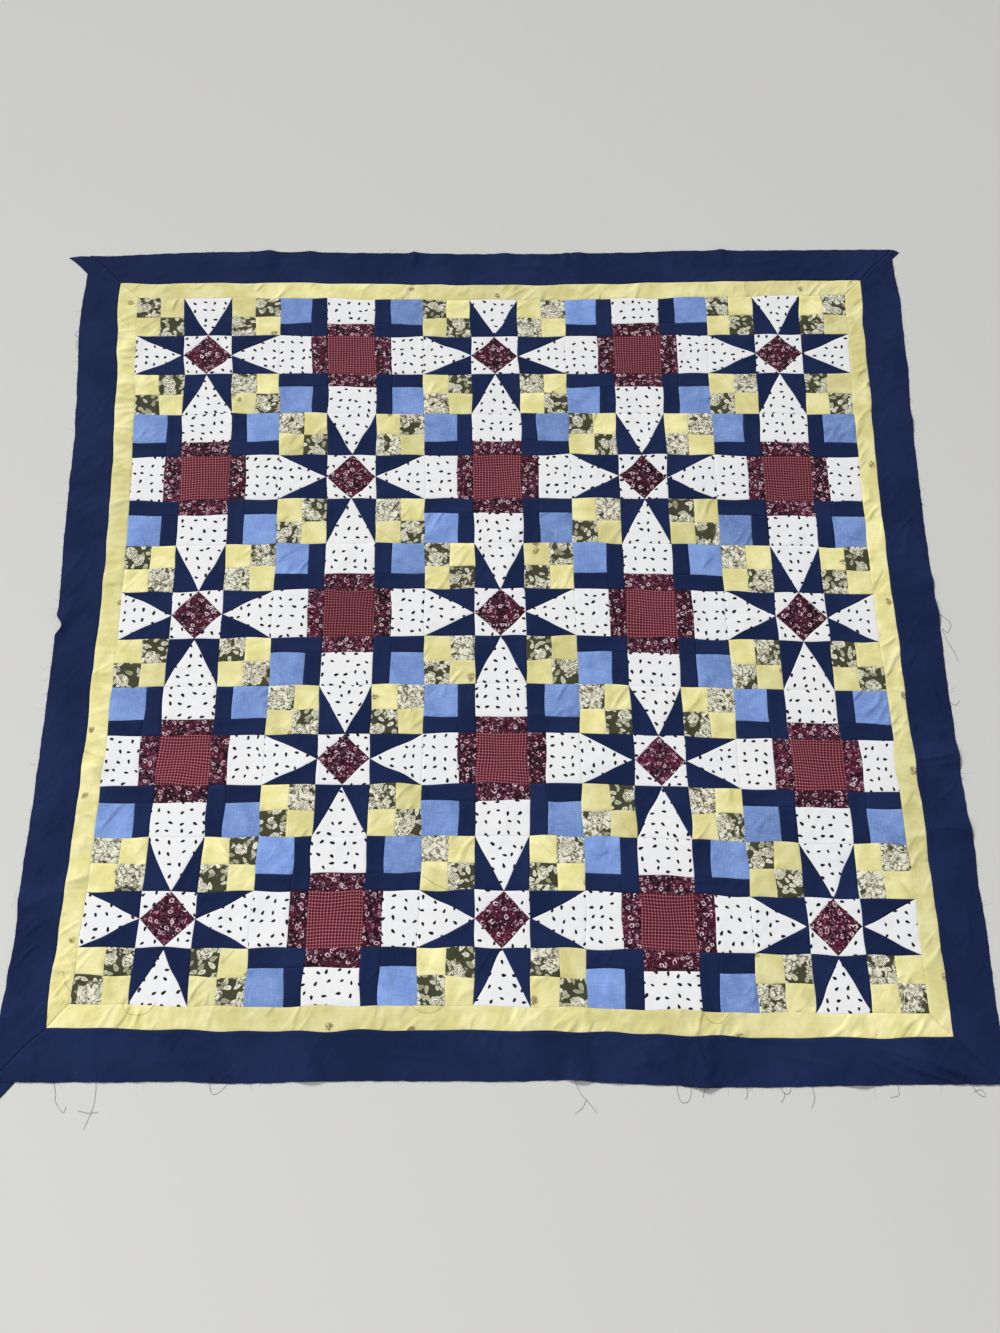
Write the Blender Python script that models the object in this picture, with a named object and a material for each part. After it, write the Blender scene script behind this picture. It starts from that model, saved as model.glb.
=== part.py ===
"""A patchwork quilt top laid out flat: 25 pieced blocks inside two mitred borders.

X runs to the right and Y away from the near edge. The cloth lies on Z = 0 and the origin is under
the middle of the centre block. Places on the cloth are worked out on the true square that the top
was sewn to, and laid() then moves them to where the cloth really lies.
"""
import math

import bmesh
import bpy

MM = 0.001

# The sewn sizes, in metres
BLOCK = 0.2286
BLOCKS_A_SIDE = 5
PALE_BORDER = {"top": 0.030, "right": 0.028, "bottom": 0.031, "left": 0.030}
NAVY_BORDER = {"top": 0.062, "right": 0.064, "bottom": 0.065, "left": 0.062}
CLOTH = 0.0012
SEAM_GAP = 0.0003

# How finely each piece is divided
BLOCK_CELLS = 8
STRIP_CELLS_A_BLOCK = 18
NAVY_CELLS_ACROSS = 4
PALE_CELLS_ACROSS = 2

HALF = BLOCK * BLOCKS_A_SIDE / 2

# Clockwise round the top: each side starts where the one before it ends
SIDES = ("top", "right", "bottom", "left")
OUTWARD = {"top": (0, 1), "right": (1, 0), "bottom": (0, -1), "left": (-1, 0)}

# Distances of each border's inner and outer edge from the middle, side by side
PALE_EDGES = {side: (HALF, HALF + PALE_BORDER[side]) for side in SIDES}
NAVY_EDGES = {side: (PALE_EDGES[side][1], PALE_EDGES[side][1] + NAVY_BORDER[side]) for side in SIDES}

# Where each row of seams lies off the true square, counted from the far edge, in mm:
# its left end to the right, its right end to the right, and the whole row away from the near edge
ROW_SEAMS = (
    (-17, 6, -4),
    (-2, -2, 3),
    (7, -6, 1),
    (8, -4, -1),
    (5, -1, 1),
    (-3, 2, -1),
)

# Where each column of seams lies off the true square, counted from the left, in mm away from the
# near edge: its far end, the extra at its middle, and its near end
COLUMN_SEAMS = (
    (-6, -4, 9),
    (-3, 1, 4),
    (-5, 4, 4),
    (-3, 6, 0),
    (4, 1, -8),
    (9, -5, -10),
)

# Folds and swells where the cloth stands off what it lies on, in mm and degrees:
# middle x, middle y, direction of its length, half length, half width, height
FOLDS = (
    # crosswise folds in the right strip of the navy border
    (664, 8, 0, 80, 26, 4.5),
    (664, 60, 14, 60, 20, 3.0),
    (664, -213, 0, 85, 26, 5.0),
    (664, -319, 4, 80, 24, 5.0),
    (664, 330, -8, 55, 24, 3.0),
    # the near strip, with the long slack roll at its right
    (100, -668, 90, 80, 22, 3.5),
    (265, -668, 86, 85, 22, 4.5),
    (-250, -668, 92, 60, 24, 3.0),
    (575, -640, -16, 110, 24, 5.0),
    (470, -668, 70, 60, 22, 3.0),
    # the left strip, with the tuck in its raw edge
    (-664, -15, 50, 75, 20, 5.0),
    (-664, -432, 0, 75, 24, 4.0),
    (-664, -530, -30, 75, 22, 4.0),
    (-664, 230, 6, 55, 24, 3.0),
    # short lifts along the far edge
    (-368, 664, 90, 60, 24, 4.5),
    (-300, 664, 84, 50, 22, 3.0),
    (-128, 664, 90, 45, 22, 3.0),
    (20, 664, 96, 45, 20, 3.0),
    (140, 664, 90, 50, 24, 3.5),
    (372, 664, 88, 60, 26, 4.5),
    # puckers across the pale border's left strip and at its far left corner
    (-586, 470, 38, 44, 22, 2.2),
    (-586, 400, 30, 42, 22, 2.0),
    (-588, 300, -24, 42, 22, 1.8),
    (-586, 190, 30, 42, 22, 2.0),
    (-586, 60, 35, 44, 22, 2.2),
    (-586, -90, 28, 42, 22, 1.8),
    (-586, -240, 34, 44, 22, 2.0),
    (-586, -400, 30, 44, 22, 2.2),
    # broad swells of the pieced blocks
    (-330, 330, 30, 150, 80, 2.0),
    (300, 250, -20, 160, 85, 2.2),
    (-280, -230, 75, 150, 80, 2.0),
    (310, -320, 15, 170, 85, 2.4),
    (20, 400, 0, 120, 70, 1.6),
    (0, -420, 5, 150, 70, 2.0),
)

# How far the raw edge wanders from its straight line, in mm, with places counted clockwise along
# the side from its middle: place, outwards, half width of the bend
EDGE_BENDS = {
    "top": ((-690, -9, 250), (-112, 1, 60), (300, 2, 80), (640, 1, 60)),
    "right": ((-640, -4, 90), (-420, 2, 60), (0, 2, 120), (350, 3, 60), (460, 2, 80)),
    "bottom": ((-560, -5, 300), (-262, 2, 40), (-85, -3, 70), (346, 2, 80), (570, 4, 180)),
    "left": ((-500, -5, 110), (-17, -9, 18), (150, 3, 150), (640, -6, 150)),
}

# The mitres whose spare cloth wasn't trimmed, by the strip and the end that carry it, in mm:
# reach past the neighbour's raw edge, notch below the strip's own raw edge, drop of the tip,
# and how far the raw edge runs on before it
TAILS = {
    ("top", "start"): (34, 44, 6, 19),
    ("top", "end"): (13, 19, 5, 4),
    ("left", "start"): (33, 31, 3, 27),
}

# The share of a mitre that is sewn where a tail runs on past it
SEWN_SHARE = 0.75

CLOTH_COLOURS = {
    "pieced_star_cotton": (0.42, 0.38, 0.33),
    "pieced_chain_cotton": (0.22, 0.24, 0.36),
    "pale_yellow_cotton": (0.80, 0.74, 0.40),
    "navy_cotton": (0.012, 0.026, 0.088),
}


def clear_scene():
    for old in list(bpy.data.objects):
        bpy.data.objects.remove(old, do_unlink=True)


def cotton(name):
    """Plain matt cotton in the named colour."""
    material = bpy.data.materials.new(name)
    material.use_nodes = True
    shader = material.node_tree.nodes["Principled BSDF"]
    shader.inputs["Base Color"].default_value = (*CLOTH_COLOURS[name], 1.0)
    shader.inputs["Roughness"].default_value = 0.9
    shader.inputs["Metallic"].default_value = 0.0
    return material


def smooth_through(values, place):
    """Height at place of the Catmull-Rom curve through values set one apart, level past both ends."""
    place = min(max(place, 0.0), len(values) - 1.0)
    step = min(int(place), len(values) - 2)
    before, here, there, after = (values[min(max(step + k, 0), len(values) - 1)] for k in (-1, 0, 1, 2))
    t = place - step
    bend = (
        2 * here
        + (there - before) * t
        + (2 * before - 5 * here + 4 * there - after) * t * t
        + (3 * here - before - 3 * there + after) * t ** 3
    )
    return bend / 2


def rise(share):
    """A soft hump: 1 in the middle, 0 from one half width away, level at both."""
    return math.cos(math.pi / 2 * share) ** 2 if abs(share) < 1 else 0.0


def side_point(side, along, out):
    """A point of the true square: so far clockwise along a side from its middle, and so far out."""
    out_x, out_y = OUTWARD[side]
    return out_x * out + out_y * along, out_y * out - out_x * along


def edge_wander(side, x, y):
    """How far a point of the navy strip moves outwards with the raw edge: little away from that edge."""
    out_x, out_y = OUTWARD[side]
    inner, outer = NAVY_EDGES[side]
    share = min(max((x * out_x + y * out_y - inner) / (outer - inner), 0.0), 1.0)
    along = (x * out_y - y * out_x) / MM
    bends = sum(out * rise((along - place) / half) for place, out, half in EDGE_BENDS[side])
    return share ** 4 * MM * bends


def laid(x, y):
    """Where a point of the true square lies on the ground: moved with the seams and the raw edges."""
    column = min(max((x + HALF) / BLOCK, 0.0), BLOCKS_A_SIDE)
    row = min(max((HALF - y) / BLOCK, 0.0), BLOCKS_A_SIDE)
    across, down = column / BLOCKS_A_SIDE, row / BLOCKS_A_SIDE
    left, right, away = (smooth_through(values, row) for values in zip(*ROW_SEAMS))
    far, middle, near = (smooth_through(values, column) for values in zip(*COLUMN_SEAMS))
    shift_x = MM * (left * (1 - across) + right * across)
    shift_y = MM * (far * (1 - down) + near * down + 4 * middle * down * (1 - down) + away)
    for side, (out_x, out_y) in OUTWARD.items():
        wander = edge_wander(side, x, y)
        shift_x += out_x * wander
        shift_y += out_y * wander
    return x + shift_x, y + shift_y


def lift(x, y):
    """How far the cloth's underside stands up at a point of the true square: all folds' humps added."""
    total = 0.0
    for middle_x, middle_y, direction, half_length, half_width, height in FOLDS:
        turn = math.radians(direction)
        off_x, off_y = x / MM - middle_x, y / MM - middle_y
        along = off_x * math.cos(turn) + off_y * math.sin(turn)
        across = off_y * math.cos(turn) - off_x * math.sin(turn)
        total += height * rise(along / half_length) * rise(across / half_width)
    return total * MM


def cloth_piece(name, material, collection, cells_x, cells_y, place, tails=()):
    """A flat grid moved point by point to where the cloth lies, then given the cloth's thickness.

    place turns a grid point, 0 to 1 both ways, into a point of the true square. A tail adds the faces
    past one end of a strip: the end's column of the grid and the tail's own corners on the true square.
    """
    bm = bmesh.new()
    bmesh.ops.create_grid(bm, x_segments=cells_x, y_segments=cells_y, size=0.5)
    grid = {}
    for vert in bm.verts:
        u, v = vert.co.x + 0.5, vert.co.y + 0.5
        grid[round(u * cells_x), round(v * cells_y)] = vert
        x, y = place(u, v)
        vert.co = (*laid(x, y), lift(x, y))
    for column, corners in tails:
        sewn = grid[column, round(SEWN_SHARE * cells_y)]
        edge = grid[column, cells_y]
        neck, notch, tip, shoulder = (bm.verts.new((*laid(x, y), 0.0)) for x, y in corners)
        bm.faces.new((sewn, neck, edge))
        bm.faces.new((neck, notch, tip, shoulder, edge))
    raised = bmesh.ops.extrude_face_region(bm, geom=bm.faces[:])["geom"]
    top = [item for item in raised if isinstance(item, bmesh.types.BMVert)]
    bmesh.ops.translate(bm, verts=top, vec=(0.0, 0.0, CLOTH))
    bmesh.ops.recalc_face_normals(bm, faces=bm.faces[:])
    mesh = bpy.data.meshes.new(name)
    bm.to_mesh(mesh)
    bm.free()
    mesh.materials.append(material)
    piece = bpy.data.objects.new(name, mesh)
    collection.objects.link(piece)
    return piece


def pieced_block(row, column, materials, collection):
    """One sewn block, counted from the far left corner; star and chain blocks take turns."""
    kind = "star" if (row + column) % 2 == 0 else "chain"
    left = -HALF + column * BLOCK
    near = HALF - (row + 1) * BLOCK
    inner = BLOCK - SEAM_GAP

    def place(u, v):
        return left + SEAM_GAP / 2 + u * inner, near + SEAM_GAP / 2 + v * inner

    name = f"{kind}_block_r{row + 1}_c{column + 1}"
    material = materials[f"pieced_{kind}_cotton"]
    return cloth_piece(name, material, collection, BLOCK_CELLS, BLOCK_CELLS, place)


def neighbour_at(side, end):
    """The side that a strip's start or end is mitred to."""
    step = {"start": -1, "end": 1}[end]
    return SIDES[(SIDES.index(side) + step) % len(SIDES)]


def across_strip(edges, side, v):
    """Distance from the middle at share v of a strip's width, clear of both its seams."""
    inner, outer = edges[side]
    return inner + SEAM_GAP / 2 + v * (outer - inner - SEAM_GAP)


def on_mitre(edges, neighbour, v):
    """How far a strip reaches along its side at share v of its width, clear of the mitre's seam."""
    inner, outer = edges[neighbour]
    return inner + v * (outer - inner) - SEAM_GAP


def pale_strip(side, materials, collection):
    """One side of the narrow inner border, mitred at both ends."""

    def place(u, v):
        start = -on_mitre(PALE_EDGES, neighbour_at(side, "start"), v)
        end = on_mitre(PALE_EDGES, neighbour_at(side, "end"), v)
        return side_point(side, start + u * (end - start), across_strip(PALE_EDGES, side, v))

    cells = STRIP_CELLS_A_BLOCK * BLOCKS_A_SIDE
    name = f"pale_border_{side}"
    return cloth_piece(name, materials["pale_yellow_cotton"], collection, cells, PALE_CELLS_ACROSS, place)


def tail_corners(side, end):
    """The corners of a tail on the true square: neck, notch, tip and shoulder, the neck at the mitre."""
    reach, notch, drop, shoulder = (size * MM for size in TAILS[side, end])
    sign = {"start": -1, "end": 1}[end]
    inner, raw = NAVY_EDGES[side]
    beside = NAVY_EDGES[neighbour_at(side, end)][1] + SEAM_GAP
    places = (
        (beside, inner + SEWN_SHARE * (raw - inner)),
        (beside, raw - notch),
        (beside + reach, raw - drop),
        (beside + shoulder, raw),
    )
    return [side_point(side, sign * along, out) for along, out in places]


def navy_strip(side, materials, collection):
    """One side of the wide outer border: mitred at both ends, with a raw edge and any untrimmed tail."""

    def end_reach(end, v):
        """The strip's reach along the mitre: only as far as is sewn where a tail takes the corner."""
        neighbour = neighbour_at(side, end)
        other_end = {"start": "end", "end": "start"}[end]
        takes_corner = (neighbour, other_end) in TAILS
        return on_mitre(NAVY_EDGES, neighbour, min(v, SEWN_SHARE) if takes_corner else v)

    def place(u, v):
        start, end = -end_reach("start", v), end_reach("end", v)
        return side_point(side, start + u * (end - start), across_strip(NAVY_EDGES, side, v))

    cells = STRIP_CELLS_A_BLOCK * BLOCKS_A_SIDE
    columns = {"start": 0, "end": cells}
    tails = [(columns[end], tail_corners(side, end)) for end in columns if (side, end) in TAILS]
    name = f"navy_border_{side}"
    return cloth_piece(name, materials["navy_cotton"], collection, cells, NAVY_CELLS_ACROSS, place, tails)


clear_scene()
quilt = bpy.data.collections.new("patchwork_quilt_top")
bpy.context.scene.collection.children.link(quilt)
cottons = {name: cotton(name) for name in CLOTH_COLOURS}

for block_row in range(BLOCKS_A_SIDE):
    for block_column in range(BLOCKS_A_SIDE):
        pieced_block(block_row, block_column, cottons, quilt)

for border_side in SIDES:
    pale_strip(border_side, cottons, quilt)
    navy_strip(border_side, cottons, quilt)
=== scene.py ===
"""The looks of a patchwork quilt top laid out flat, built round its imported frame.

X runs to the right and Y away from the near edge, in metres, with the floor at Z = 0. Each block
and each border strip is one piece: thin closed patches of cotton, sewn side by side, that lie on
the frame's folds.
"""
import math

import bpy
import numpy as np
from mathutils import Matrix, Vector


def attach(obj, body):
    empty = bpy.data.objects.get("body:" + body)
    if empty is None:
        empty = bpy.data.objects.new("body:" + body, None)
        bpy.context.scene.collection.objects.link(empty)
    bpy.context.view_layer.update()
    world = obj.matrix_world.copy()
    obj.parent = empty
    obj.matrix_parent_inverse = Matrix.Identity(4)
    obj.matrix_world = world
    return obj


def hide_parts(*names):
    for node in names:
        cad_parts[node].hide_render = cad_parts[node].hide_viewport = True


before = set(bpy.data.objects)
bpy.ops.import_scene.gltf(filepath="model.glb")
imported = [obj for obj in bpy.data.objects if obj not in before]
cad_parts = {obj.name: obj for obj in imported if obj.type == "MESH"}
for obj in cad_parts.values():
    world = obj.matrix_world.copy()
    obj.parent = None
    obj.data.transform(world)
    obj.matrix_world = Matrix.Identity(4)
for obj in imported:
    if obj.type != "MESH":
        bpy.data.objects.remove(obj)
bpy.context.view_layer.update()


# Camera
# It stands at the near edge at a person's height, looks down over the top, and is turned and
# rolled a little as a hand holds it. Its lens is given by the height of the picture.
PICTURE_HEIGHT = 1333
FOCAL_LENGTH_PIXELS = 1300
SENSOR_MM = 36.0
CAMERA_PLACE = (-0.0409, -0.7654, 1.7856)
CAMERA_TURN = -3.44
CAMERA_TILT = 20.94
CAMERA_ROLL = 3.21


def placed(name, data):
    """Puts an object with this data in the scene."""
    made = bpy.data.objects.new(name, data)
    bpy.context.scene.collection.objects.link(made)
    return made


camera_data = bpy.data.cameras.new("camera")
camera_data.sensor_width = SENSOR_MM
camera_data.lens = SENSOR_MM * FOCAL_LENGTH_PIXELS / PICTURE_HEIGHT
camera = placed("camera", camera_data)
camera.matrix_world = (
    Matrix.Translation(CAMERA_PLACE)
    @ Matrix.Rotation(math.radians(CAMERA_TURN), 4, "Z")
    @ Matrix.Rotation(math.radians(CAMERA_TILT), 4, "X")
    @ Matrix.Rotation(math.radians(CAMERA_ROLL), 4, "Z")
)
bpy.context.scene.camera = camera


# Floor and studio light
# A plain pale floor under a pale surround, with one wide far-off lamp over the far left and a soft
# one over the near left. The light is even enough for the prints and slanted enough for the folds.
FLOOR_REACH = 60.0
FLOOR_DROP = 0.0002
FLOOR_GREY = (0.68, 0.675, 0.65, 1.0)
FLOOR_ROUGHNESS = 0.95
FLOOR_SHINE = 0.1
SURROUND = (0.80, 0.81, 0.83, 1.0)
SURROUND_STRENGTH = 0.33
KEY_STRENGTH = 2.65
KEY_WIDTH = 16.0
KEY_FROM = (-0.45, 0.72, 0.56)
FILL_WATTS = 50.0
FILL_SIZE = 2.6
FILL_PLACE = (-2.3, -1.8, 2.8)

floor_corners = np.array(((-1, -1, 0), (1, -1, 0), (1, 1, 0), (-1, 1, 0))) * FLOOR_REACH
floor_corners[:, 2] = -FLOOR_DROP
floor_mesh = bpy.data.meshes.new("floor")
floor_mesh.from_pydata(floor_corners.tolist(), [], [(0, 1, 2, 3)])
floor = placed("floor", floor_mesh)
floor_paint = bpy.data.materials.new("floor_paint")
floor_paint.use_nodes = True
floor_shader = floor_paint.node_tree.nodes["Principled BSDF"]
floor_shader.inputs["Base Color"].default_value = FLOOR_GREY
floor_shader.inputs["Roughness"].default_value = FLOOR_ROUGHNESS
floor_shader.inputs["Specular IOR Level"].default_value = FLOOR_SHINE
floor.data.materials.append(floor_paint)

surround = bpy.data.worlds.new("surround")
surround.use_nodes = True
surround.node_tree.nodes["Background"].inputs["Color"].default_value = SURROUND
surround.node_tree.nodes["Background"].inputs["Strength"].default_value = SURROUND_STRENGTH
bpy.context.scene.world = surround
bpy.context.scene.view_settings.view_transform = "Standard"

key_light = bpy.data.lights.new("key_lamp", "SUN")
key_light.energy = KEY_STRENGTH
key_light.angle = math.radians(KEY_WIDTH)
fill_light = bpy.data.lights.new("fill_lamp", "AREA")
fill_light.energy = FILL_WATTS
fill_light.size = FILL_SIZE
for lamp_light, place in ((key_light, KEY_FROM), (fill_light, FILL_PLACE)):
    lamp = placed(lamp_light.name, lamp_light)
    lamp.location = place
    lamp.rotation_euler = Vector(place).to_track_quat("Z", "Y").to_euler()


# Star blocks
# Thirteen squares of 33 patches: a print diamond in a square, four star points between dark
# slivers, and four four-patches. They are joined by narrow seams, pressed to the darker cotton.
MM = 0.001
BLOCK = 0.2286
BLOCKS_A_SIDE = 5
HALF = BLOCK * BLOCKS_A_SIDE / 2

# Where each row of seams lies off the true square, counted from the far edge, in mm:
# its left end to the right, its right end to the right, and the whole row away from the near edge
ROW_SEAMS = (
    (-17, 6, -4),
    (-2, -2, 3),
    (7, -6, 1),
    (8, -4, -1),
    (5, -1, 1),
    (-3, 2, -1),
)

# Where each column of seams lies off the true square, counted from the left, in mm away from the
# near edge: its far end, the extra at its middle, and its near end
COLUMN_SEAMS = (
    (-6, -4, 9),
    (-3, 1, 4),
    (-5, 4, 4),
    (-3, 6, 0),
    (4, 1, -8),
    (9, -5, -10),
)

# Folds and swells where the cloth stands off the floor, in mm and degrees:
# middle x, middle y, direction of its length, half length, half width, height
FOLDS = (
    # crosswise folds in the right strip of the navy border
    (664, 8, 0, 80, 26, 4.5),
    (664, 60, 14, 60, 20, 3.0),
    (664, -213, 0, 85, 26, 5.0),
    (664, -319, 4, 80, 24, 5.0),
    (664, 330, -8, 55, 24, 3.0),
    # the near strip, with the long slack roll at its right
    (100, -668, 90, 80, 22, 3.5),
    (265, -668, 86, 85, 22, 4.5),
    (-250, -668, 92, 60, 24, 3.0),
    (575, -640, -16, 110, 24, 5.0),
    (470, -668, 70, 60, 22, 3.0),
    # the left strip, with the tuck in its raw edge
    (-664, -15, 50, 75, 20, 5.0),
    (-664, -432, 0, 75, 24, 4.0),
    (-664, -530, -30, 75, 22, 4.0),
    (-664, 230, 6, 55, 24, 3.0),
    # short lifts along the far edge
    (-368, 664, 90, 60, 24, 4.5),
    (-300, 664, 84, 50, 22, 3.0),
    (-128, 664, 90, 45, 22, 3.0),
    (20, 664, 96, 45, 20, 3.0),
    (140, 664, 90, 50, 24, 3.5),
    (372, 664, 88, 60, 26, 4.5),
    # puckers across the pale border's left strip and at its far left corner
    (-586, 470, 38, 44, 22, 2.2),
    (-586, 400, 30, 42, 22, 2.0),
    (-588, 300, -24, 42, 22, 1.8),
    (-586, 190, 30, 42, 22, 2.0),
    (-586, 60, 35, 44, 22, 2.2),
    (-586, -90, 28, 42, 22, 1.8),
    (-586, -240, 34, 44, 22, 2.0),
    (-586, -400, 30, 44, 22, 2.2),
    # broad swells of the pieced blocks
    (-330, 330, 30, 150, 80, 2.0),
    (300, 250, -20, 160, 85, 2.2),
    (-280, -230, 75, 150, 80, 2.0),
    (310, -320, 15, 170, 85, 2.4),
    (20, 400, 0, 120, 70, 1.6),
    (0, -420, 5, 150, 70, 2.0),
)

# Fine creases of the cloth itself, which the frame is too coarse to hold, in the same columns
CREASES = (
    # slanting pulls in the pale border's left strip, from the far end to the near end
    (-588, 585, 42, 26, 4, 1.2),
    (-575, 560, 48, 28, 4, 1.2),
    (-590, 520, 35, 24, 4, 1.0),
    (-583, 480, 38, 26, 4, 1.2),
    (-588, 440, 30, 24, 4, 1.0),
    (-584, 392, 34, 25, 5, 1.2),
    (-588, 345, 26, 22, 4, 1.0),
    (-586, 300, -24, 24, 5, 1.0),
    (-588, 245, 30, 23, 4, 1.0),
    (-584, 190, 20, 24, 5, 1.2),
    (-588, 140, 12, 22, 4, 1.0),
    (-586, 92, 8, 22, 4, 1.2),
    (-586, 40, -6, 20, 5, 1.2),
    (-588, -22, 4, 19, 4, 1.2),
    (-586, -92, 8, 20, 5, 1.0),
    (-588, -150, -4, 19, 4, 1.4),
    (-584, -196, 10, 20, 4, 1.0),
    (-586, -238, 3, 20, 5, 1.4),
    (-588, -310, 6, 19, 4, 1.2),
    (-586, -352, -8, 20, 4, 1.0),
    (-586, -402, 18, 22, 5, 1.4),
    (-588, -470, 36, 24, 4, 1.2),
    (-584, -500, 44, 26, 4, 1.2),
    (-586, -548, 50, 26, 4, 1.4),
    # wrinkles that run from it into the patches of the far left and near left blocks
    (-520, 545, -38, 34, 5, 1.0),
    (-535, 500, 34, 36, 5, 1.0),
    (-540, 420, 30, 34, 5, 0.8),
    (-530, 372, 26, 30, 5, 1.0),
    (-530, -480, 46, 38, 5, 1.0),
    (-505, -520, 38, 30, 5, 0.8),
    (-545, -545, 52, 30, 4, 1.0),
    # slanting wrinkles in some blue and yellow squares
    (-505, 318, 28, 26, 5, 1.0),
    (-495, 300, 30, 22, 4, 0.8),
    (-500, 98, 24, 26, 5, 0.8),
    (-268, 318, 26, 26, 5, 1.0),
    (-262, 90, 38, 30, 5, 1.2),
    (-255, 78, 42, 24, 4, 0.8),
    (-420, 130, -46, 22, 4, 1.0),
    (-305, 128, 40, 20, 4, 1.0),
    (-230, 440, 14, 24, 5, 0.8),
    (-160, 330, 80, 22, 4, 0.8),
    (52, 305, 74, 26, 5, 1.0),
    (192, 318, 60, 26, 5, 0.8),
    (285, 92, 46, 28, 5, 1.0),
    (70, -42, -70, 26, 5, 1.0),
    (-58, -132, 84, 26, 4, 1.0),
    (-45, -138, 82, 22, 4, 0.8),
    (505, 132, 48, 26, 5, 1.0),
    (440, 290, -35, 24, 5, 0.8),
    (-190, -340, 34, 26, 5, 0.8),
    (45, -372, -42, 26, 5, 1.0),
    (275, -345, 50, 28, 5, 0.8),
    (505, -330, 30, 26, 5, 1.0),
    (420, -510, -44, 24, 4, 0.8),
    # pulls across the pale border's other strips
    (-480, 588, 80, 18, 4, 0.5),
    (-330, 586, 72, 18, 4, 0.5),
    (-150, 588, 100, 18, 4, 0.4),
    (-20, 588, 84, 18, 4, 0.5),
    (150, 588, 106, 18, 4, 0.4),
    (330, 586, 78, 18, 4, 0.5),
    (500, 586, 60, 20, 4, 0.5),
    (585, 500, 8, 20, 4, 0.5),
    (586, 380, -12, 20, 4, 0.5),
    (586, 250, 14, 20, 4, 0.4),
    (586, 120, -6, 20, 4, 0.5),
    (586, -40, 10, 20, 4, 0.5),
    (586, -190, -10, 20, 4, 0.5),
    (586, -330, 6, 20, 4, 0.5),
    (586, -480, -14, 20, 4, 0.5),
    (460, -588, 96, 20, 4, 0.4),
    (300, -588, 82, 20, 4, 0.5),
    (110, -588, 92, 20, 4, 0.5),
    (-80, -588, 78, 20, 4, 0.4),
    (-260, -588, 98, 20, 4, 0.5),
    (-430, -588, 84, 20, 4, 0.4),
    # long slack folds of the navy border
    (-640, 560, 78, 46, 5, 1.2),
    (-636, 420, 84, 60, 6, 1.0),
    (-642, 90, 62, 40, 6, 1.4),
    (-625, -300, 96, 50, 6, 1.0),
    (-350, 640, 8, 70, 6, 1.0),
    (80, 636, -5, 80, 6, 1.0),
    (440, 640, 6, 60, 6, 1.0),
    (640, 430, 88, 60, 6, 1.0),
    (634, 130, 74, 46, 6, 1.4),
    (642, -120, 100, 56, 6, 1.2),
    (640, -450, 82, 60, 6, 1.2),
    (-420, -640, 4, 90, 6, 1.0),
    (-120, -636, -6, 80, 6, 1.2),
    (190, -640, 14, 60, 6, 1.4),
    (400, -632, -12, 70, 6, 1.4),
    (560, -650, -22, 70, 5, 1.7),
    (-636, -470, 40, 34, 5, 1.4),
    (-640, -505, 48, 40, 5, 1.4),
    (-648, 20, 44, 34, 4, 1.4),
    (-655, -30, 58, 30, 4, 1.5),
    (250, -640, 80, 24, 5, 1.5),
    (285, -655, 62, 22, 4, 1.4),
    (90, -650, 84, 24, 4, 1.4),
    (500, -640, -30, 60, 5, 1.5),
    # sharp ones in its right and near strips, one of which crosses the pale strip too
    (630, -215, 9, 38, 4, 2.0),
    (642, -226, 12, 24, 4, 1.2),
    (634, -322, -3, 34, 3, 1.8),
    (640, -276, -12, 20, 4, 1.0),
    (260, -626, -65, 26, 4, 2.0),
    (251, -592, -65, 18, 4, 1.6),
    (185, -628, -58, 22, 5, 1.6),
    (228, -652, -24, 18, 5, 1.3),
    (515, -620, -18, 36, 4, 1.6),
    (582, -641, -28, 58, 6, 2.4),
    # small peaks of the far raw edge
    (-130, 657, 90, 24, 8, 2.4),
    (119, 657, 92, 24, 8, 2.2),
    (7, 658, 88, 18, 8, 1.2),
    (375, 656, 90, 22, 9, 1.4),
    (-395, 656, 86, 22, 9, 1.2),
)

# Where a strip's end lies over its neighbour's untrimmed tail, in the columns of the folds
OVER_TAILS = (
    (-660, 644, 90, 66, 26, 1.0),
    (655, 650, 90, 40, 22, 1.0),
    (-640, -655, 0, 56, 26, 1.0),
)

# Small gathers across the pale border, where it was eased on to the blocks. For each side: how
# strong they are, and the stretches where they are stronger, each with its middle clockwise along
# the side and its half length, in mm, and what it adds
GATHERS = {
    "top": (0.45, ((-560, 90, 1.0), (420, 120, 0.6))),
    "right": (0.50, ((-450, 120, 0.6), (200, 160, 0.6))),
    "bottom": (0.26, ((470, 160, 1.2), (-30, 170, 0.6))),
    "left": (1.5, ((420, 300, 1.5), (-520, 130, 1.5))),
}

# How far apart the gathers are and by what share of it they stray, the least and the most of their
# half widths and heights, the mean and the spread of their slants, how far from the blocks their
# middle line runs, and how far to each side of it they reach, all lengths in mm
GATHER_EVERY = 13.5
GATHER_STRAY = 0.32
GATHER_HALF_WIDTH = (3.2, 6.0)
GATHER_HEIGHT = (0.22, 0.85)
GATHER_SLANT = (0.12, 0.32)
GATHER_MIDDLE = 15.0
GATHER_REACH = 27.0

# Clockwise round the top: each side starts where the one before it ends
SIDES = ("top", "right", "bottom", "left")
OUTWARD = {"top": (0, 1), "right": (1, 0), "bottom": (0, -1), "left": (-1, 0)}

# The cloth's own thickness, and how its seams are made, in mm: the stitched line is sunk, and the
# spare cloth beside it stands up under the darker patch
CLOTH_THICKNESS = 0.45
SEAM_SUNK = 0.26
SEAM_ROLL = 0.9
SPARE_CLOTH = 6.35
SPARE_CLOTH_FADE = 1.1

# Waves that make the seams and the surface as uneven as hand-fed sewing leaves them
SEAM_WAVES = 10
SEAM_WAVE_LENGTHS = (0.040, 0.130)
SEAM_WAVE_SIZE = 0.34 * MM
SURFACE_WAVES = 26
SURFACE_WAVE_LENGTHS = (0.018, 0.080)
SURFACE_WAVE_SIZE = 0.065 * MM

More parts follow.
